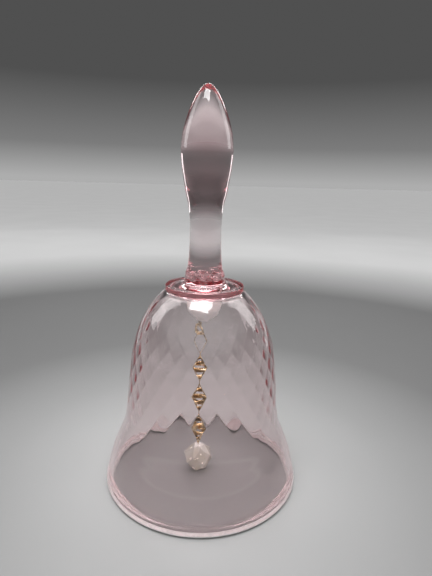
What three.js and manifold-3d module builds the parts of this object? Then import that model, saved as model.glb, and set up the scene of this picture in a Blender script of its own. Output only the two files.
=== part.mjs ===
// Glass hand bell: an optic-blown glass bowl with a collar and a solid handle, and a glass bead
// clapper on a brass chain. Millimetres, +Z up along the bell's axis, the rim stands on z = 0.
import * as THREE from 'three';
import Module from 'manifold-3d';

const wasm = await Module();
wasm.setup();

// Bowl
const COLUMNS = 56;            // points around each ring: two for each cell of the diamond pattern
const WALL = 2.3;              // wall thickness where two cells meet
const RELIEF = 0.3;            // how far the middle of a cell swells inwards
const PATTERN_TURN = -0.012;    // radians that the pattern is turned from the front
const CROWN_Z = 88.2;          // flat top of the bowl, under the collar
const CROWN_R = 16.6;
const CEILING_Z = 86.9;        // highest point of the hollow

// Collar and handle
const FUSE_GAP = 0.3;
const COLLAR_R = 16.85;
const COLLAR_TOP = 90.6;
const HANDLE_Z = 91.7;
const TIP_Z = 170.6;

// Hanger
const HANG_X = -1.5;           // the hanger sits a little off the axis, in a plug that is centred
const PLUG_TIP_Z = 73.6;
const EYE_Z = 69.6;
const EYE_R = 2.2;
const EYE_WIRE = 0.4;          // wire sizes are radii

// Chain
const LINKS = 20;
const WIRE = 0.275;
const RUN = 0.1;               // running clearance between two linked wires
const LINK_R = 0.85;           // centreline radius of a link's ends
const LINK_LENGTH = 2.85;      // between the centrelines of a link's two ends
const HANGER_R = 1.5;
const HANGER_LENGTH = 8.9;

// Clapper
const LOOP_R = 1.1;
const PIN_WIRE = 0.3;
const BEAD_Z = 7.4;
const BEAD_R = 6.9;
const BEAD_HALF_HEIGHT = 5.8;
const BEAD_SIDES = 7;

const EVEN_TURN = Math.PI / 4;         // the chain's two planes, seen from above
const ODD_TURN = (3 * Math.PI) / 4;

const material = (name, color, roughness, metalness) =>
  new THREE.MeshStandardMaterial({ name, color, roughness, metalness });
const pinkGlass = () => material('pink_glass', 0xf0b8bc, 0.05, 0);
const brass = () => material('brass', 0xc09a5c, 0.35, 1);
const cement = () => material('setting_cement', 0xf1ece4, 0.8, 0);
const clearGlass = () => material('bead_glass', 0xe6dccb, 0.12, 0);

// ---- helpers ----

function smooth(points, samples) {
  const curve = new THREE.SplineCurve(points.map(([r, z]) => new THREE.Vector2(r, z)));
  return curve.getSpacedPoints(samples);
}

function radiusAt(profile, z) {
  for (let i = 1; i < profile.length; i++) {
    const a = profile[i - 1];
    const b = profile[i];
    if ((a.y - z) * (b.y - z) <= 0 && a.y !== b.y) {
      return a.x + ((b.x - a.x) * (z - a.y)) / (b.y - a.y);
    }
  }
  throw new Error(`no radius at z = ${z}`);
}

function inset(profile, depth) {
  return profile.map((p, i) => {
    const before = profile[Math.max(i - 1, 0)];
    const after = profile[Math.min(i + 1, profile.length - 1)];
    const along = after.clone().sub(before).normalize();
    return new THREE.Vector2(p.x - along.y * depth, p.y + along.x * depth);
  });
}

function lathe(points, segments) {
  const geometry = new THREE.LatheGeometry(points, segments);
  geometry.rotateX(Math.PI / 2);       // the lathe turns about Y; the bell stands along Z
  return geometry;
}

function toManifold(geometry) {
  const plain = geometry.index ? geometry.toNonIndexed() : geometry;
  const position = plain.getAttribute('position');
  const seen = new Map();
  const vertices = [];
  const triangles = [];
  for (let i = 0; i < position.count; i++) {
    const p = [position.getX(i), position.getY(i), position.getZ(i)];
    const key = p.map((v) => Math.round(v * 1e5)).join(' ');
    if (!seen.has(key)) {
      seen.set(key, vertices.length / 3);
      vertices.push(...p);
    }
    triangles.push(seen.get(key));
  }
  const kept = [];
  for (let i = 0; i < triangles.length; i += 3) {
    const [a, b, c] = triangles.slice(i, i + 3);
    if (a !== b && b !== c && c !== a) {
      kept.push(a, b, c);
    }
  }
  return new wasm.Manifold(new wasm.Mesh({
    numProp: 3,
    vertProperties: new Float32Array(vertices),
    triVerts: new Uint32Array(kept),
  }));
}

function fromManifold(solid) {
  const mesh = solid.getMesh();
  const geometry = new THREE.BufferGeometry();
  const vertices = Float32Array.from(mesh.vertProperties);
  geometry.setAttribute('position', new THREE.BufferAttribute(vertices, 3));
  geometry.setIndex(Array.from(mesh.triVerts));
  return geometry;
}

function cylinder(radius, low, high, sides) {
  const geometry = new THREE.CylinderGeometry(radius, radius, high - low, sides);
  geometry.rotateX(Math.PI / 2);
  geometry.translate(0, 0, (low + high) / 2);
  return toManifold(geometry);
}

// A closed wire loop standing upright in the XZ plane: a torus pulled long by its two halves.
function wireLoop(radius, wire, length, topZ, sides, steps) {
  const geometry = new THREE.TorusGeometry(radius, wire, sides, steps);
  geometry.rotateX(Math.PI / 2);
  const pull = length / 2 - radius;
  const middle = topZ - length / 2;
  const position = geometry.getAttribute('position');
  for (let i = 0; i < position.count; i++) {
    const z = position.getZ(i);
    position.setZ(i, middle + z + (z > -1e-6 ? pull : -pull));
  }
  return geometry;
}

// ---- bowl ----

const OUTER_WALL = smooth([
  [43.3, 4.6],
  [42.3, 8.8],
  [40.3, 15.4],
  [37.6, 22.0],
  [35.2, 28.6],
  [33.95, 36.0],
  [33.25, 44.0],
  [32.3, 52.8],
  [31.1, 61.6],
  [29.5, 68.2],
  [26.9, 74.8],
  [24.0, 80.1],
  [20.6, 84.6],
  [17.6, 87.6],
], 160);
const INNER_WALL = inset(OUTER_WALL, WALL);

// Heights of the pattern's rows, and how much of the relief each one has
const LATTICE_ROWS = [
  [20.6, 0], [27.6, 0.45], [34.4, 0.9], [40.8, 1], [47.0, 1], [53.2, 1], [59.2, 1],
  [64.6, 1], [69.6, 1], [74.2, 1], [78.2, 0.8], [81.6, 0.5],
];
const OUTER_RIM = [[43.1, 0], [43.8, 0.6], [44.0, 1.8], [43.8, 3.1]];
const INNER_RIM = [[41.4, 0], [40.6, 0.7], [40.35, 1.8], [40.6, 3.2]];
const CEILING = [[15.2, CEILING_Z - 0.6], [11.0, CEILING_Z - 0.15], [5.5, CEILING_Z - 0.03]];

// A ring has one radius for its even columns and one for its odd columns.
const plainRing = ([r, z]) => ({ z, even: r, odd: r });

function outerRings() {
  const rows = [4.6, 8.8, 15.4, 22.0, 28.6, 36.0, 44.0, 52.8, 61.6, 68.2, 74.8, 80.1, 84.6];
  return [
    ...OUTER_RIM.map(plainRing),
    ...rows.map((z) => plainRing([radiusAt(OUTER_WALL, z), z])),
    plainRing([CROWN_R + 0.6, CROWN_Z - 0.2]),
    plainRing([CROWN_R, CROWN_Z]),
  ];
}

function innerRings() {
  const plainRows = [5.0, 9.0, 14.6].map((z) => plainRing([radiusAt(INNER_WALL, z), z]));
  const cellRows = LATTICE_ROWS.map(([z, share], row) => {
    const r = radiusAt(INNER_WALL, z);
    const swollen = r - RELIEF * share;
    return row % 2 === 0 ? { z, even: r, odd: swollen } : { z, even: swollen, odd: r };
  });
  const shoulder = plainRing([radiusAt(INNER_WALL, 84.6), 84.6]);
  return [...INNER_RIM.map(plainRing), ...plainRows, ...cellRows, shoulder, ...CEILING.map(plainRing)];
}

function bellBowl() {
  const outer = outerRings();
  const inner = innerRings();
  const rings = [...outer.reverse(), ...inner];
  const points = [[0, 0, CROWN_Z]];
  for (const ring of rings) {
    for (let c = 0; c < COLUMNS; c++) {
      const r = c % 2 === 0 ? ring.even : ring.odd;
      const turn = (2 * Math.PI * c) / COLUMNS - Math.PI / 2 + PATTERN_TURN;
      points.push([r * Math.cos(turn), r * Math.sin(turn), ring.z]);
    }
  }
  points.push([0, 0, CEILING_Z]);

  const at = (ring, column) => 1 + ring * COLUMNS + (column % COLUMNS);
  const last = points.length - 1;
  const faces = [];
  for (let c = 0; c < COLUMNS; c++) {
    faces.push(0, at(0, c), at(0, c + 1));
    faces.push(last, at(rings.length - 1, c + 1), at(rings.length - 1, c));
  }
  const firstCellRow = outer.length + INNER_RIM.length + 3;
  for (let k = 0; k + 1 < rings.length; k++) {
    for (let c = 0; c < COLUMNS; c++) {
      // the diagonal follows the crease between two cells
      const leaning = (c + k - firstCellRow) % 2 === 0;
      const [a, b, d, e] = [at(k, c), at(k, c + 1), at(k + 1, c), at(k + 1, c + 1)];
      if (leaning) {
        faces.push(a, d, e, a, e, b);
      } else {
        faces.push(a, d, b, b, d, e);
      }
    }
  }
  const geometry = new THREE.BufferGeometry();
  geometry.setAttribute('position', new THREE.BufferAttribute(new Float32Array(points.flat()), 3));
  geometry.setIndex(faces);
  return geometry;
}

// ---- collar and handle ----

function collarDisc() {
  const low = CROWN_Z + FUSE_GAP;
  return lathe([
    [0, low],
    [COLLAR_R - 0.7, low],
    [COLLAR_R, low + 0.6],
    [COLLAR_R, COLLAR_TOP - 0.6],
    [COLLAR_R - 0.7, COLLAR_TOP],
    [11.0, COLLAR_TOP + 0.2],
    [9.4, HANDLE_Z - FUSE_GAP],
    [0, HANDLE_Z - FUSE_GAP],
  ].map(([r, z]) => new THREE.Vector2(r, z)), 48);
}

function handle() {
  const side = smooth([
    [8.6, HANDLE_Z + 0.8],
    [8.4, 95.0],
    [7.3, 99.0],
    [6.75, 106.0],
    [6.6, 116.0],
    [7.2, 123.2],
    [8.6, 129.8],
    [10.0, 138.0],
    [10.55, 146.0],
    [9.7, 153.0],
    [7.6, 160.0],
    [4.6, 166.4],
    [1.6, 170.0],
  ], 24);
  return lathe([
    new THREE.Vector2(0, HANDLE_Z),
    new THREE.Vector2(7.8, HANDLE_Z),
    ...side,
    new THREE.Vector2(0, TIP_Z),
  ], 32);
}

// ---- hanger ----

function cementPlug() {
  const blob = lathe([
    [0, PLUG_TIP_Z],
    [1.6, PLUG_TIP_Z],
    [2.8, PLUG_TIP_Z + 0.7],
    [4.8, 76.0],
    [6.4, 77.7],
    [7.4, 80.0],
    [7.6, 83.0],
    [7.1, 85.4],
    [6.2, CEILING_Z - 0.55],
    [0, CEILING_Z - 0.4],
  ].map(([r, z]) => new THREE.Vector2(r, z)), 24);
  const socket = cylinder(EYE_WIRE + 0.12, PLUG_TIP_Z - 1, 80.4, 12).translate([HANG_X, 0, 0]);
  return fromManifold(toManifold(blob).subtract(socket));
}

function hangerEye() {
  const loop = wireLoop(EYE_R, EYE_WIRE, 2 * EYE_R, EYE_Z + EYE_R, 8, 20);
  const shank = cylinder(EYE_WIRE, EYE_Z + EYE_R, 80.0, 8);
  const geometry = fromManifold(toManifold(loop).add(shank));
  geometry.rotateZ(ODD_TURN);
  return geometry;
}

// The z of a linked loop's top centreline, from the bottom centreline of the loop it hangs on
const hangFrom = (z, wireAbove, wireBelow) => z + wireAbove + wireBelow + RUN;

const HANGER_TOP = hangFrom(EYE_Z - EYE_R, EYE_WIRE, WIRE);
const CHAIN_TOP = hangFrom(HANGER_TOP - HANGER_LENGTH, WIRE, WIRE);
const PITCH = LINK_LENGTH - 2 * WIRE - RUN;
const CHAIN_END = CHAIN_TOP - (LINKS - 1) * PITCH - LINK_LENGTH;
const LOOP_TOP = hangFrom(CHAIN_END, WIRE, PIN_WIRE);

function hangerLink() {
  const geometry = wireLoop(HANGER_R, WIRE, HANGER_LENGTH, HANGER_TOP, 6, 20);
  geometry.rotateZ(EVEN_TURN);
  return geometry;
}

function chainLink(number) {
  const geometry = wireLoop(LINK_R, WIRE, LINK_LENGTH, CHAIN_TOP - (number - 1) * PITCH, 6, 16);
  geometry.rotateZ(number % 2 === 0 ? EVEN_TURN : ODD_TURN);
  return geometry;
}

// ---- clapper ----

function clapperPin() {
  const foot = BEAD_Z - BEAD_HALF_HEIGHT;
  const loop = wireLoop(LOOP_R, PIN_WIRE, 2 * LOOP_R, LOOP_TOP, 8, 16);
  const shank = cylinder(PIN_WIRE, foot - 0.3, LOOP_TOP - 2 * LOOP_R, 8);
  const head = cylinder(1.0, foot - 0.7, foot - 0.2, 16);
  const geometry = fromManifold(toManifold(loop).add(shank).add(head));
  geometry.rotateZ(ODD_TURN);
  return geometry;
}

function clapperBead() {
  const rows = [
    [3.0, 1],
    [5.6, 0.55],
    [BEAD_R, -0.05],
    [6.0, -0.62],
    [4.2, -1],
  ];
  const points = rows.flatMap(([r, height], row) =>
    Array.from({ length: BEAD_SIDES }, (_, i) => {
      const turn = (2 * Math.PI * (i + row / 2)) / BEAD_SIDES;
      return [r * Math.cos(turn), r * Math.sin(turn), BEAD_Z + height * BEAD_HALF_HEIGHT];
    }));
  const bore = cylinder(PIN_WIRE + 0.15, 0, 20, 12);
  return fromManifold(wasm.Manifold.hull(points).subtract(bore));
}

// ---- assembly ----

const bell = new THREE.Group();

function place(name, geometry, paint, x = 0) {
  geometry.translate(x, 0, 0);
  const mesh = new THREE.Mesh(geometry, paint);
  mesh.name = name;
  bell.add(mesh);
}

place('bell_bowl', bellBowl(), pinkGlass());
place('collar_disc', collarDisc(), pinkGlass());
place('handle', handle(), pinkGlass());
place('cement_plug', cementPlug(), cement());
place('hanger_eye', hangerEye(), brass(), HANG_X);
place('hanger_link', hangerLink(), brass(), HANG_X);
for (let number = 1; number <= LINKS; number++) {
  place(`chain_link_${String(number).padStart(2, '0')}`, chainLink(number), brass(), HANG_X);
}
place('clapper_pin', clapperPin(), brass(), HANG_X);
place('clapper_bead', clapperBead(), clearGlass(), HANG_X);

export default bell;
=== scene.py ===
"""Pink glass hand bell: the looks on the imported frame. Metres, +Z up, the rim stands on z = 0."""
import math

import bmesh
import bpy
import numpy as np
from mathutils import Matrix, Vector

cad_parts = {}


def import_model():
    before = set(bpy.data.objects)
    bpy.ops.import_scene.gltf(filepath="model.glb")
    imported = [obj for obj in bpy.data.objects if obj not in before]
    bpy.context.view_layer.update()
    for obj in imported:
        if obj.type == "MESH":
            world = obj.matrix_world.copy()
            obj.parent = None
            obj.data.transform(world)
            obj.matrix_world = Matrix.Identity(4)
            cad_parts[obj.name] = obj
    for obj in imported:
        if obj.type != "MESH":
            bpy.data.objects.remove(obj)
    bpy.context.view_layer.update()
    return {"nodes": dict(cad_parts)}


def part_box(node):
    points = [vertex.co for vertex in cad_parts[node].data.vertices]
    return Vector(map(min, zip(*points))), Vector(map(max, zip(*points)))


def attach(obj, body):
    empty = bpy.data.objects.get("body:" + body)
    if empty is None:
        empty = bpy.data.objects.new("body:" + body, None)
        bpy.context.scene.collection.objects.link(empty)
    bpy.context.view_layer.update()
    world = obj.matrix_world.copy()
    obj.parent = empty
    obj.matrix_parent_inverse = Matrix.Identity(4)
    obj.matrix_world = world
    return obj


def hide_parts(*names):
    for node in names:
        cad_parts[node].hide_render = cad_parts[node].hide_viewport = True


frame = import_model()
MM = 0.001
rng = np.random.default_rng(7)

# ---------------------------------------------------------------- dimensions, in millimetres
CELLS = 28                 # diamonds round the bowl
SUB = 12                   # mesh steps to half a diamond, each way
RELIEF = 0.28              # swell of a diamond on the inside
OUTER_RELIEF = 0.07        # and on the outside
SOFT = 0.045               # how far a crease is rounded, as a share of the diamond
FLUTE = 0.12               # swell of the upright flutes that the diamonds run out into at the top
PATTERN_TURN = -0.012      # radians that the pattern is turned from the front
WALL = 2.3
RIM_R, RIM_Z, RIM_ROUND = 42.2, 1.8, 1.8
OUTER_FOOT, INNER_FOOT = 5.0, 5.4       # heights where the wall meets the rim's round
LINING_OUT, LINING_IN = 1.72, 1.56      # radii of the satin band that lies inside the rim's round

# The outside of the bowl from the rim's bead to the crown, as (radius, height)
OUTER_WALL = [
    (43.3, 4.6), (42.3, 8.8), (40.3, 15.4), (37.6, 22.0), (35.2, 28.6), (33.95, 36.0), (33.25, 44.0),
    (32.3, 52.8), (31.1, 61.6), (29.5, 68.2), (26.9, 74.8), (24.0, 80.1), (20.6, 84.6), (17.6, 87.6),
]
# Rows of the diamond pattern: height, share of the diamonds' relief, share of the flutes' relief
ROWS = [
    (20.6, 0.0, 0.0), (27.6, 0.1, 0.0), (34.4, 0.45, 0.0), (40.8, 0.9, 0.0), (47.0, 1.0, 0.0),
    (53.2, 1.0, 0.0), (59.2, 1.0, 0.0), (64.6, 1.0, 0.1), (69.6, 0.9, 0.3), (74.2, 0.6, 0.7),
    (78.2, 0.25, 1.0), (81.6, 0.0, 0.8), (84.6, 0.0, 0.0),
]
PLAIN_LOW, PLAIN_HIGH = 20.0, 84.6      # the pattern lies between these heights
CEILING = [(15.2, 86.3), (11.0, 86.75), (5.5, 86.87), (0.8, 86.9)]
COLLAR_R, COLLAR_LOW, COLLAR_TOP = 16.85, 88.4, 90.6
UPPER_EDGE, LOWER_EDGE = 0.32, 0.3      # how far the collar's two edges are rounded
UNDER_COLLAR = [(16.2, 88.35), (16.5, 88.2)]
CROWN = (17.1, 88.0)
SHOULDER_Z = (87.4, 84.9)  # plain glass between the crown and the pattern
COLLAR_FACE = [(10.3, 91.12), (11.2, 90.86), (12.4, 90.66), (13.6, 90.52), (14.6, 90.46), (15.4, 90.52)]
TIP = 170.6
TIP_CAP = [(0.55, 170.5), (1.2, 170.2)]
HANDLE_LOW = (9.6, 91.4)
HANDLE = [
    (9.1, 91.7), (8.5, 93.4), (8.3, 95.6), (7.3, 99.0), (6.75, 106.0), (6.6, 116.0), (7.2, 123.2),
    (8.6, 129.8), (10.0, 138.0), (10.55, 146.0), (9.7, 153.0), (7.6, 160.0), (4.6, 166.4), (1.9, 169.8),
]
FOOT_RIPPLE = 0.2          # tool marks round the foot of the handle
FOOT_SCALLOP = 0.3         # and the lobes where it was pressed on to the collar

HANG_X = -1.5              # the hanger is set a little off the axis
WIRE = 0.275               # wire sizes are radii
LINK_WIRE = 0.35           # the chain and the eye look fuller than their solids
LINK_R, LINK_LENGTH = 0.85, 2.92
LINK_RISE = 0.035          # keeps the fuller wire clear of the link above
LINK_TWIST = math.radians(26)
HANGER_R, HANGER_LENGTH = 1.5, 8.9
EYE_R, EYE_WIRE = 2.2, 0.4
EYE_SHOWN = 0.52
SHANK_TOP = 79.6           # the end of the eye's shank, deep in the plug
LOOP_R, PIN_WIRE = 1.1, 0.3
PIN_END = 0.15             # how far the shank ends above the bottom of its head
PIN_HEAD = [(0.05, 0.0), (0.7, 0.03), (0.97, 0.2), (0.97, 0.36), (0.7, 0.5), (0.05, 0.5)]
EVEN_TURN, ODD_TURN = math.pi / 4, 3 * math.pi / 4
PLUG_LUMPS = 0.09
PLUG = [
    (0.05, 73.7), (1.5, 73.7), (2.8, 74.35), (4.8, 76.05), (6.3, 77.8), (7.25, 80.0), (7.4, 83.0),
    (6.9, 85.3), (6.1, 86.3), (0.05, 86.45),
]
BEAD_HALF, BEAD_SIDES = 5.75, 5
BEAD_ROWS = [(3.4, 1.0), (6.6, 0.42), (6.9, -0.2), (4.3, -1.0)]      # (radius, share of the half height)
BEAD_TURN, BEAD_BEVEL = 0.12, 0.14

# ---------------------------------------------------------------- studio, in metres
# Painted light and shade on the floor by distance from the bell (a painted pool of light under it,
# painted shade around that, a painted bright band far off), and tone of the surround behind it by upward
# direction
FLOOR_PAINTED_LIGHT = [(0.05, 0.30), (0.1, 0.20), (0.17, 0.10), (0.36, 0.08), (0.62, 0.45), (1.0, 0.62)]
BEHIND_TONE = [(0.0, 0.42), (0.07, 0.2), (0.2, 0.08), (0.34, 0.08), (0.42, 0.6), (1.0, 0.7)]
FRONT_TONE = 1.3
FLOOR_HALF = 12.0
CAMERA_AT = (0.00497, -0.1818, 0.1341)
CAMERA_DIP, CAMERA_ROLL = math.radians(13.94), math.radians(1.52)
CAMERA_LENS, SENSOR = 27.06, 36.0       # millimetres, the sensor along the picture's longer side


# ---------------------------------------------------------------- curves and meshes
def spline(points, count):
    """count points evenly spaced along a smooth curve through the given ones."""
    p = np.array([points[0], *points, points[-1]], float)
    p[0] = 2 * p[1] - p[2]
    p[-1] = 2 * p[-2] - p[-3]
    out = []
    for i in range(1, len(p) - 2):
        a, b, c, d = p[i - 1:i + 3]
        for t in np.linspace(0, 1, 24, endpoint=False):
            out.append(0.5 * (2 * b + (c - a) * t + (2 * a - 5 * b + 4 * c - d) * t**2
                              + (3 * b - a - 3 * c + d) * t**3))
    out.append(p[-2])
    out = np.array(out)
    run = np.r_[0, np.cumsum(np.linalg.norm(np.diff(out, axis=0), axis=1))]
    at = np.linspace(0, run[-1], count)
    return np.c_[np.interp(at, run, out[:, 0]), np.interp(at, run, out[:, 1])]


def inset(line, depth):
    """The same line moved depth towards the bell's inside."""
    along = np.gradient(line, axis=0)
    along /= np.linalg.norm(along, axis=1)[:, None]
    return line + depth * np.c_[-along[:, 1], along[:, 0]]


def arc(cr, cz, radius, start, end, count):
    """Points of a circle's arc in the (radius, height) plane, angles in degrees."""
    a = np.radians(np.linspace(start, end, count))
    return np.c_[cr + radius * np.cos(a), cz + radius * np.sin(a)]


def new_object(name, verts, faces, material, smooth=True):
    """An object of these vertices, in metres."""
    mesh = bpy.data.meshes.new(name)
    mesh.from_pydata([tuple(v) for v in verts], [], faces)
    mesh.validate()
    mesh.update()
    if smooth:
        mesh.polygons.foreach_set("use_smooth", [True] * len(mesh.polygons))
    mesh.materials.append(material)
    obj = bpy.data.objects.new(name, mesh)
    bpy.context.scene.collection.objects.link(obj)
    return obj


def piece(obj, body, slot, *nodes):
    """Lets the object ride a body, in place of these CAD nodes. The slot is not used."""
    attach(obj, body)
    if nodes:
        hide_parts(*nodes)


# ---------------------------------------------------------------- materials
def material(name):
    """A new material, its nodes, its links and its shader."""
    m = bpy.data.materials.new(name)
    m.use_nodes = True
    nodes = m.node_tree.nodes
    return m, nodes, m.node_tree.links, nodes["Principled BSDF"]


def noise(nodes, links, scale, detail=3.0, stretch=(1, 1, 1)):
    """A noise texture in object space, its size in units of one over scale metres."""
    where = nodes.new("ShaderNodeTexCoord")
    turn = nodes.new("ShaderNodeMapping")
    turn.inputs["Scale"].default_value = stretch
    tex = nodes.new("ShaderNodeTexNoise")
    tex.inputs["Scale"].default_value = scale
    tex.inputs["Detail"].default_value = detail
    links.new(where.outputs["Object"], turn.inputs["Vector"])
    links.new(turn.outputs["Vector"], tex.inputs["Vector"])
    return tex.outputs["Fac"]


def ramp(nodes, links, fac, *stops):
    """A colour ramp; each stop is (position, number or colour)."""
    r = nodes.new("ShaderNodeValToRGB")
    elements = r.color_ramp.elements
    while len(elements) < len(stops):
        elements.new(0.5)
    for element, (at, value) in zip(elements, stops):
        rgb = (value,) * 3 if isinstance(value, (int, float)) else value
        element.position = at
        element.color = (*rgb, 1)
    links.new(fac, r.inputs["Fac"])
    return r.outputs["Color"]


def bump(nodes, links, bsdf, height, strength, distance):
    """Small relief on the surface, distance in metres."""
    b = nodes.new("ShaderNodeBump")
    b.inputs["Strength"].default_value = strength
    b.inputs["Distance"].default_value = distance
    links.new(height, b.inputs["Height"])
    links.new(b.outputs["Normal"], bsdf.inputs["Normal"])


def height_share(nodes, links, low, high):
    """0 at height low, 1 at height high, in metres."""
    where = nodes.new("ShaderNodeTexCoord")
    split = nodes.new("ShaderNodeSeparateXYZ")
    span = nodes.new("ShaderNodeMapRange")
    span.inputs["From Min"].default_value = low
    span.inputs["From Max"].default_value = high
    links.new(where.outputs["Object"], split.inputs["Vector"])
    links.new(split.outputs["Z"], span.inputs["Value"])
    return span.outputs["Result"]


def multiply(nodes, links, a, b):
    """The product of two colours."""
    mix = nodes.new("ShaderNodeMix")
    mix.data_type = "RGBA"
    mix.blend_type = "MULTIPLY"
    mix.inputs["Factor"].default_value = 1.0
    links.new(a, mix.inputs["A"])
    links.new(b, mix.inputs["B"])
    return mix.outputs["Result"]


def absorb(nodes, links, color, density):
    """Glass that takes this colour with depth."""
    volume = nodes.new("ShaderNodeVolumeAbsorption")
    volume.inputs["Color"].default_value = (*color, 1)
    volume.inputs["Density"].default_value = density
    links.new(volume.outputs["Volume"], nodes["Material Output"].inputs["Volume"])


def pink_glass():
    """Rose glass: the collar's edge is satin and pinker, the handle was drawn from a paler gather."""
    m, nodes, links, bsdf = material("pink_glass")
    bsdf.inputs["Transmission Weight"].default_value = 1.0
    bsdf.inputs["IOR"].default_value = 1.5
    smears = noise(nodes, links, 60, 4)
    edge = ramp(nodes, links, height_share(nodes, links, 0.080, 0.100),
                (0.0, 0.0), (0.42, 0.0), (0.45, 1.0), (0.51, 1.0), (0.53, 0.0))
    satin = nodes.new("ShaderNodeMix")
    links.new(edge, satin.inputs["Factor"])
    links.new(ramp(nodes, links, smears, (0.5, 0.0), (0.8, 0.03)), satin.inputs["A"])
    links.new(ramp(nodes, links, smears, (0.4, 0.28), (0.7, 0.38)), satin.inputs["B"])
    links.new(satin.outputs["Result"], bsdf.inputs["Roughness"])
    cloud = ramp(nodes, links, noise(nodes, links, 35, 2),
                 (0.35, (1.0, 0.995, 0.995)), (0.65, (1.0, 0.985, 0.985)))
    tone = ramp(nodes, links, height_share(nodes, links, 0.080, 0.170),
                (0.085, (1.0, 0.985, 0.985)), (0.095, (1.0, 0.88, 0.89)), (0.117, (1.0, 0.88, 0.89)),
                (0.13, (1.0, 0.985, 0.985)), (0.22, (0.86, 0.97, 0.96)), (0.55, (0.82, 0.95, 0.94)),
                (1.0, (0.90, 0.98, 0.97)))
    links.new(multiply(nodes, links, cloud, tone), bsdf.inputs["Base Color"])
    bump(nodes, links, bsdf, noise(nodes, links, 90, 2, (1, 1, 0.35)), 0.12, 0.0006)
    absorb(nodes, links, (0.84, 0.38, 0.43), 40)
    return m


def bead_glass():
    """Clear glass with a slight milky cast."""
    m, nodes, links, bsdf = material("bead_glass")
    bsdf.inputs["Transmission Weight"].default_value = 0.55
    bsdf.inputs["IOR"].default_value = 1.5
    tone = noise(nodes, links, 260, 3)
    links.new(ramp(nodes, links, tone, (0.35, (0.90, 0.85, 0.74)), (0.65, (1.0, 0.98, 0.93))),
              bsdf.inputs["Base Color"])
    dull = noise(nodes, links, 400, 2)
    links.new(ramp(nodes, links, dull, (0.4, 0.12), (0.7, 0.3)), bsdf.inputs["Roughness"])
    bump(nodes, links, bsdf, noise(nodes, links, 500, 3), 0.25, 0.0002)
    absorb(nodes, links, (1.0, 0.95, 0.85), 15)
    return m


def brass_wire():
    """Bright wire with darker patches painted in for the shade in its gaps and its dark reflections."""
    m, nodes, links, bsdf = material("brass_wire")
    bsdf.inputs["Metallic"].default_value = 1.0
    tone = noise(nodes, links, 900, 3)
    # The dark end of this ramp is painted shade and painted dark reflection, spread in noise patches over
    # the wire.
    links.new(ramp(nodes, links, tone, (0.38, (0.22, 0.13, 0.05)), (0.6, (0.92, 0.74, 0.48))),
              bsdf.inputs["Base Color"])
    dull = noise(nodes, links, 1500, 2)
    links.new(ramp(nodes, links, dull, (0.35, 0.16), (0.65, 0.38)), bsdf.inputs["Roughness"])
    bump(nodes, links, bsdf, noise(nodes, links, 2500, 2), 0.3, 0.00004)
    return m


def setting_cement():
    """Matt off-white cement with a fine grain."""
    m, nodes, links, bsdf = material("setting_cement")
    tone = noise(nodes, links, 400, 5)
    links.new(ramp(nodes, links, tone, (0.35, (0.93, 0.91, 0.88)), (0.65, (0.99, 0.985, 0.975))),
              bsdf.inputs["Base Color"])
    dull = noise(nodes, links, 700, 3)
    links.new(ramp(nodes, links, dull, (0.35, 0.55), (0.65, 0.85)), bsdf.inputs["Roughness"])
    bump(nodes, links, bsdf, noise(nodes, links, 900, 6), 0.5, 0.0003)
    return m


def ground_glass():
    """The satin finish of the rim where it was ground flat."""
    m, nodes, links, bsdf = material("ground_glass")
    tone = noise(nodes, links, 900, 4)
    links.new(ramp(nodes, links, tone, (0.35, (0.86, 0.92, 0.90)), (0.6, (0.95, 1.0, 0.99))),
              bsdf.inputs["Base Color"])
    dull = noise(nodes, links, 600, 3)
    links.new(ramp(nodes, links, dull, (0.35, 0.4), (0.65, 0.7)), bsdf.inputs["Roughness"])
    bump(nodes, links, bsdf, noise(nodes, links, 1500, 3), 0.4, 0.0001)
    return m


PINK = pink_glass()
GROUND = ground_glass()
BEAD = bead_glass()
BRASS = brass_wire()
CEMENT = setting_cement()


# ---------------------------------------------------------------- the glass body
class Skin:
    """A closed skin made of rings round the axis, joined one to the next."""

    def __init__(self, top):
        self.verts = [np.array([[0, 0, top]])]
        self.faces = []
        self.count = 1
        self.last = None

    def ring(self, radius, height, columns):
        """Adds a ring and joins it to the last. radius and height are one number, or one to a column."""
        turn = 2 * np.pi * np.arange(columns) / columns - np.pi / 2 + PATTERN_TURN
        radius = np.broadcast_to(radius, columns)
        height = np.broadcast_to(height, columns)
        self.verts.append(np.c_[radius * np.cos(turn), radius * np.sin(turn), height])
        start, self.count = self.count, self.count + columns
        if self.last is None:
            self.faces += [(0, start + c, start + (c + 1) % columns) for c in range(columns)]
        else:
            self._join(*self.last, start, columns)
        self.last = (start, columns)

    def _join(self, above, n, below, m):
        """Joins n columns to the same number below, or to a whole number of times as many."""
        k = m // n
        for c in range(n):
            d = (c + 1) % n
            if k == 1:
                self.faces.append((above + c, below + c, below + d, above + d))
                continue
            for j in range(k):
                low = c * k + j
                self.faces.append((above + c, below + low, below + (low + 1) % m))
            self.faces.append((above + c, below + d * k, above + d))

    def close(self, height):
        """Closes the skin with a point on the axis, and gives its vertices, in metres, and its faces."""
        start, n = self.last
        self.verts.append(np.array([[0, 0, height]]))
        self.faces += [(self.count, start + (c + 1) % n, start + c) for c in range(n)]
        return np.vstack(self.verts) * MM, self.faces


def rounded_square(t):
    """(distance from the middle of a cell) squared, across a cell from 0 to 1, its ends rounded off."""
    edge = np.minimum(t % 1, 1 - t % 1)
    steep = (0.5 - SOFT) / SOFT
    return np.where(edge < SOFT, (0.5 - SOFT) ** 2 + steep * (SOFT**2 - edge**2), (0.5 - edge) ** 2)


def diamonds(columns, row):
    """Height of the diamonds' pillows along a ring: 0 at their corners, 1 in their middles."""
    u, v = np.arange(columns) / SUB, row / SUB
    return 1 - 2 * (rounded_square((u + v) / 2) + rounded_square((u - v) / 2))


def flutes(columns):
    """Height of the upright flutes along a ring."""
    return 1 - 4 * rounded_square(np.arange(columns) / SUB / 2 + 0.5)


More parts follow.
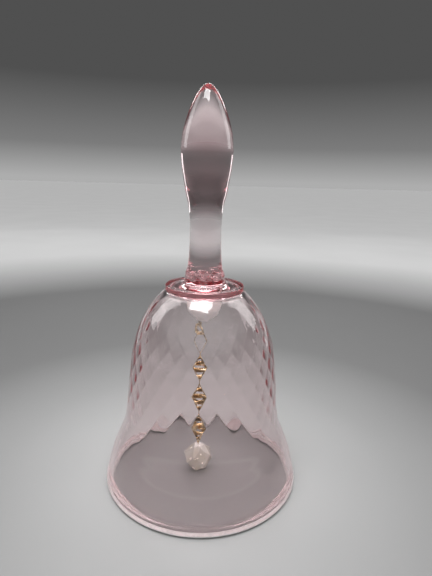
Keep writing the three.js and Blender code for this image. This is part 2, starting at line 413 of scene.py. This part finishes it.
def pattern_rows():
    """(height, share of the diamonds, share of the flutes, row number) of each ring of the pattern."""
    for n, (low, high) in enumerate(zip(ROWS, ROWS[1:])):
        for k in range(SUB):
            mix = np.array(low) + (np.array(high) - np.array(low)) * k / SUB
            yield *mix, n * SUB + k


def foot(columns, z):
    """How far the foot of the handle swells at height z, all round."""
    turn = 2 * np.pi * np.arange(columns) / columns
    wander = 0.55 * np.sin(3 * turn + 0.6) + 0.35 * np.sin(7 * turn + 2.1) + 0.25 * np.sin(13 * turn)
    ripple = np.sin(2 * np.pi * (z + 0.6 * wander) / 1.45) + 0.5 * np.sin(9 * turn + z)
    lobes = np.abs(np.sin(7.5 * turn + 0.8 * np.sin(2 * turn))) - 0.5
    return (FOOT_RIPPLE * np.interp(z, (91.7, 92.8, 97.2, 99.0), (0, 1, 0.9, 0)) * ripple
            + FOOT_SCALLOP * np.interp(z, (91.2, 91.8, 92.6, 94.0), (0, 1, 0.7, 0)) * lobes)


def glass_body():
    """The whole outside from the tip of the handle down to the rim, and up the inside to the ceiling."""
    columns = CELLS * 2 * SUB
    few = columns // 4
    wall = spline(OUTER_WALL, 400)
    inner = inset(wall, WALL)

    def out_r(z):
        return np.interp(z, wall[:, 1], wall[:, 0])

    def in_r(z):
        return np.interp(z, inner[:, 1], inner[:, 0])

    skin = Skin(TIP)
    for r, z in [*TIP_CAP, *spline(HANDLE, 130)[::-1], HANDLE_LOW]:
        skin.ring(r + foot(few, z), z, few)
    edge = [
        *arc(COLLAR_R - UPPER_EDGE, COLLAR_TOP - UPPER_EDGE, UPPER_EDGE, 85, 0, 7),
        *arc(COLLAR_R - LOWER_EDGE, COLLAR_LOW + LOWER_EDGE, LOWER_EDGE, 0, -85, 7),
        *UNDER_COLLAR,
    ]
    for r, z in [*spline(COLLAR_FACE, 12), *edge]:
        skin.ring(r, z, few)
    skin.ring(*CROWN, columns)
    for z in np.linspace(*SHOULDER_Z, 6):
        skin.ring(out_r(z), z, columns)
    for z, share, _, row in reversed(list(pattern_rows())):
        skin.ring(out_r(z) + OUTER_RELIEF * share * diamonds(columns, row), z, columns)
    for z in np.linspace(PLAIN_LOW, OUTER_FOOT, 12):
        skin.ring(out_r(z), z, columns)
    rim_out = arc(RIM_R, RIM_Z, RIM_ROUND, 25, -90, 12)
    rim_in = arc(RIM_R - 0.1, RIM_Z, RIM_ROUND - 0.05, 270, 165, 10)
    for r, z in [*rim_out, *rim_in]:
        skin.ring(r, z, columns)
    for z in np.linspace(INNER_FOOT, PLAIN_LOW, 12):
        skin.ring(in_r(z), z, columns)
    for z, share, fluted, row in pattern_rows():
        swell = RELIEF * share * diamonds(columns, row) + FLUTE * fluted * flutes(columns)
        skin.ring(in_r(z) - swell, z, columns)
    for r, z in spline([(in_r(PLAIN_HIGH), PLAIN_HIGH), *CEILING], 18):
        skin.ring(r, z, columns)
    return new_object("glass_body", *skin.close(CEILING[-1][1]), PINK)


def ground_rim():
    """The satin under the rim, a thin band that follows the rim's round just inside the glass."""
    section = np.vstack([
        arc(RIM_R, RIM_Z, LINING_OUT, -155, -15, 12),
        arc(RIM_R, RIM_Z, LINING_IN, -15, -155, 12),
    ])
    columns = 448
    turn = 2 * np.pi * np.arange(columns) / columns
    verts = np.array([(r * math.cos(a), r * math.sin(a), z) for a in turn for r, z in section])
    n = len(section)
    faces = []
    for c in range(columns):
        d = (c + 1) % columns
        faces += [(c * n + i, d * n + i, d * n + (i + 1) % n, c * n + (i + 1) % n) for i in range(n)]
    return new_object("ground_rim", verts * MM, faces, GROUND)


# ---------------------------------------------------------------- wire
def sweep(name, path, wire, material, closed=False, sides=14):
    """Round wire along a path that never runs along Y."""
    path = np.array(path, float)
    if closed:
        along = np.roll(path, -1, axis=0) - np.roll(path, 1, axis=0)
    else:
        along = np.gradient(path, axis=0)
    along /= np.linalg.norm(along, axis=1)[:, None]
    side = np.array([0, 1, 0]) - along * along[:, 1:2]
    side /= np.linalg.norm(side, axis=1)[:, None]
    up = np.cross(along, side)
    a = 2 * np.pi * np.arange(sides) / sides
    round_ = np.cos(a)[None, :, None] * side[:, None] + np.sin(a)[None, :, None] * up[:, None]
    verts = (path[:, None] + wire * round_).reshape(-1, 3)
    n = len(path)
    faces = []
    for i in range(n if closed else n - 1):
        for j in range(sides):
            k, i2 = (j + 1) % sides, (i + 1) % n
            faces.append((i * sides + j, i * sides + k, i2 * sides + k, i2 * sides + j))
    if not closed:
        faces += [tuple(range(sides))[::-1], tuple(range((n - 1) * sides, n * sides))]
    return new_object(name, verts * MM, faces, material)


def hang(obj, turn):
    """Turns a piece about the hanger's own upright line, after moving it there."""
    obj.data.transform(Matrix.Translation((HANG_X * MM, 0, 0)) @ Matrix.Rotation(turn, 4, "Z"))
    return obj


def link(name, radius, wire, length, top, turn, twist=0.0):
    """A closed long link hanging from height top, its two ends twisted against each other."""
    half = length / 2 - radius
    bend = np.linspace(0, np.pi, 17)
    run = np.linspace(1, -1, 9)[1:-1]
    end = np.c_[radius * np.cos(bend), half + radius * np.sin(bend)]
    side = np.c_[np.full(len(run), -radius), half * run]
    x, z = np.vstack([end, side, -end, -side]).T
    a = twist * z / length
    path = np.c_[x * np.cos(a), x * np.sin(a), z + top - length / 2]
    return hang(sweep(name, path, wire, BRASS, closed=True), turn)


def bent_eye(name, ring, wire, middle, foot_z, turn):
    """A wire whose end is bent round into an eye; the shank runs from it to height foot_z."""
    up = 1 if foot_z > middle else -1
    a = np.radians(np.linspace(0, 338, 44))
    aside = np.linspace(0, 1.5, 44) ** 3 * wire * 0.62
    loop = np.c_[ring * np.sin(a), aside, middle + up * ring * np.cos(a)]
    shank = np.linspace(foot_z, middle + up * (ring + wire), 12)
    path = np.vstack([np.c_[np.zeros(12), np.zeros(12), shank], loop])
    return hang(sweep(name, path, wire, BRASS), turn)


def top_of(node, wire):
    """Height of a wire node's upper centreline."""
    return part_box(node)[1].z / MM - wire


def hanging():
    """The eye, the long link and the chain."""
    eye_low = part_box("hanger_eye")[0].z / MM
    eye = bent_eye("eye", EYE_R, EYE_SHOWN, eye_low + EYE_WIRE + EYE_R, SHANK_TOP, ODD_TURN)
    piece(eye, "bell", "brass", "hanger_eye")
    long_link = link("long_link", HANGER_R, WIRE, HANGER_LENGTH, top_of("hanger_link", WIRE), EVEN_TURN)
    piece(long_link, "hanger_link", "brass", "hanger_link")
    for n, node in enumerate(sorted(k for k in frame["nodes"] if k.startswith("chain_link_")), 1):
        turn = EVEN_TURN if n % 2 == 0 else ODD_TURN
        top = top_of(node, WIRE) + LINK_RISE
        one = link(f"link_{n:02d}", LINK_R, LINK_WIRE, LINK_LENGTH, top, turn, LINK_TWIST)
        piece(one, node, "brass", node)


def lathe_piece(name, outline, columns, material, lumps=0.0):
    """A turned solid, with slight lumps if wanted; the outline starts and ends on the axis."""
    verts = []
    phase = rng.uniform(0, 2 * np.pi, 6)
    for r, z in outline:
        a = 2 * np.pi * np.arange(columns) / columns
        lump = sum(np.sin((k + 2) * a + phase[k] + z * (0.5 + 0.3 * k)) / (k + 1.5) for k in range(6))
        rr = r + lumps * lump * min(1.0, r / 3)
        verts.append(np.c_[rr * np.cos(a), rr * np.sin(a), np.full(columns, z)])
    faces = []
    for i in range(len(outline) - 1):
        for c in range(columns):
            d = (c + 1) % columns
            faces.append((i * columns + c, i * columns + d, (i + 1) * columns + d, (i + 1) * columns + c))
    last = (len(outline) - 1) * columns
    faces += [tuple(range(columns))[::-1], tuple(range(last, last + columns))]
    return new_object(name, np.vstack(verts) * MM, faces, material)


def plug():
    """The cement in the crown."""
    obj = lathe_piece("plug", spline(PLUG, 60), 64, CEMENT, PLUG_LUMPS)
    piece(obj, "bell", "setting_cement", "cement_plug")


# ---------------------------------------------------------------- clapper
def clapper_pin():
    """The pin with its loop and its head under the bead."""
    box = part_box("clapper_pin")
    low, high = box[0].z / MM, box[1].z / MM
    middle = high - PIN_WIRE - LOOP_R
    pin = bent_eye("pin", LOOP_R, PIN_WIRE, middle, low + PIN_END, ODD_TURN)
    piece(pin, "clapper_pin", "brass", "clapper_pin")
    head = lathe_piece("pin_head", [(r, low + z) for r, z in PIN_HEAD], 24, BRASS)
    piece(hang(head, 0), "clapper_pin", "brass")


def clapper_bead():
    """A faceted bead: the hull of a few rows of points, its edges slightly worn."""
    middle = sum(v.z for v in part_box("clapper_bead")) / 2 / MM
    bead = bmesh.new()
    for row, (r, height) in enumerate(BEAD_ROWS):
        for i in range(BEAD_SIDES):
            turn = 2 * math.pi * (i + row / 2) / BEAD_SIDES + BEAD_TURN
            bead.verts.new((r * math.cos(turn), r * math.sin(turn), middle + height * BEAD_HALF))
    bmesh.ops.convex_hull(bead, input=bead.verts)
    bmesh.ops.dissolve_limit(bead, angle_limit=math.radians(2), verts=bead.verts, edges=bead.edges)
    bmesh.ops.bevel(bead, geom=bead.edges, offset=BEAD_BEVEL, segments=2, affect="EDGES", profile=0.6)
    bmesh.ops.triangulate(bead, faces=bead.faces)
    place = Matrix.Scale(MM, 4) @ Matrix.Translation((HANG_X, 0, 0))
    bmesh.ops.transform(bead, matrix=place, verts=bead.verts)
    mesh = bpy.data.meshes.new("bead")
    bead.to_mesh(mesh)
    bead.free()
    mesh.materials.append(BEAD)
    obj = bpy.data.objects.new("bead", mesh)
    bpy.context.scene.collection.objects.link(obj)
    piece(obj, "clapper_bead", "bead_glass", "clapper_bead")


piece(glass_body(), "bell", "pink_glass", "bell_bowl", "collar_disc", "handle")
piece(ground_rim(), "bell", "pink_glass")
plug()
hanging()
clapper_pin()
clapper_bead()


# ---------------------------------------------------------------- floor, light and camera
def floor():
    """A plain sheet with painted light and shade: a painted pool of light under the bell, painted shade
    in between and a painted bright band far off, so that the glass shows.
    """
    m, nodes, links, bsdf = material("floor")
    where = nodes.new("ShaderNodeTexCoord")
    far = nodes.new("ShaderNodeVectorMath")
    far.operation = "LENGTH"
    links.new(where.outputs["Object"], far.inputs[0])
    # The floor's colour by distance from the bell is painted light and shade: pale under it, darker
    # around it, pale again far off.
    painted_pool = ramp(nodes, links, far.outputs["Value"], *FLOOR_PAINTED_LIGHT)
    grain = ramp(nodes, links, noise(nodes, links, 8, 2), (0.35, 0.96), (0.65, 1.0))
    links.new(multiply(nodes, links, painted_pool, grain), bsdf.inputs["Base Color"])
    bsdf.inputs["Roughness"].default_value = 0.6
    s = FLOOR_HALF
    obj = new_object("floor", [(-s, -s, 0), (s, -s, 0), (s, s, 0), (-s, s, 0)], [(0, 1, 2, 3)], m, False)


def lamp(name, place, aim, size, size_y, radiance):
    """A soft box of that radiance."""
    light = bpy.data.lights.new(name, "AREA")
    light.shape = "RECTANGLE"
    light.size, light.size_y = size, size_y
    light.energy = radiance * math.pi * size * size_y
    obj = bpy.data.objects.new(name, light)
    obj.location = place
    obj.rotation_euler = (Vector(aim) - Vector(place)).to_track_quat("-Z", "Y").to_euler()
    bpy.context.scene.collection.objects.link(obj)


def world():
    """A plain grey surround: dark behind the bell, brighter overhead and high in front of it."""
    w = bpy.data.worlds.new("studio")
    w.use_nodes = True
    nodes, links = w.node_tree.nodes, w.node_tree.links
    where = nodes.new("ShaderNodeTexCoord")
    split = nodes.new("ShaderNodeSeparateXYZ")
    links.new(where.outputs["Generated"], split.inputs["Vector"])
    behind = ramp(nodes, links, split.outputs["Z"], *BEHIND_TONE)
    turned = nodes.new("ShaderNodeMath")
    turned.operation = "MULTIPLY"
    turned.inputs[1].default_value = -1.0
    links.new(split.outputs["Y"], turned.inputs[0])
    front = ramp(nodes, links, turned.outputs[0], (0.0, 0.0), (0.55, 1.0))
    high = ramp(nodes, links, split.outputs["Z"], (0.22, 0.0), (0.45, 1.0))
    mix = nodes.new("ShaderNodeMix")
    mix.data_type = "RGBA"
    links.new(multiply(nodes, links, front, high), mix.inputs["Factor"])
    links.new(behind, mix.inputs["A"])
    mix.inputs["B"].default_value = (FRONT_TONE, FRONT_TONE, FRONT_TONE, 1)
    links.new(mix.outputs["Result"], nodes["Background"].inputs["Color"])
    bpy.context.scene.world = w


def camera():
    """The photograph's view."""
    cam = bpy.data.cameras.new("camera")
    cam.lens = CAMERA_LENS
    cam.sensor_width = SENSOR
    cam.clip_start, cam.clip_end = 0.01, 50
    obj = bpy.data.objects.new("camera", cam)
    look = Matrix.Rotation(math.pi / 2 - CAMERA_DIP, 4, "X") @ Matrix.Rotation(CAMERA_ROLL, 4, "Z")
    obj.matrix_world = Matrix.Translation(CAMERA_AT) @ look
    bpy.context.scene.collection.objects.link(obj)
    bpy.context.scene.camera = obj


floor()
world()
BELL = (0, 0, 0.08)
lamp("overhead", (-0.06, -0.16, 0.78), BELL, 0.42, 0.32, 12)
lamp("back", (0, 0.75, 0.5), BELL, 0.9, 0.09, 8)
lamp("right", (0.5, 0.2, 0.42), BELL, 0.24, 0.5, 2.6)
lamp("left", (-0.5, 0.16, 0.42), BELL, 0.24, 0.5, 2.6)
camera()

scene = bpy.context.scene
scene.cycles.use_denoising = True
scene.cycles.max_bounces = 96
scene.cycles.transmission_bounces = 96
scene.cycles.glossy_bounces = 48
scene.cycles.diffuse_bounces = 3
scene.cycles.transparent_max_bounces = 16
scene.cycles.caustics_refractive = True
scene.cycles.caustics_reflective = True
scene.cycles.blur_glossy = 0.5
scene.cycles.sample_clamp_indirect = 20.0
scene.view_settings.view_transform = "Standard"
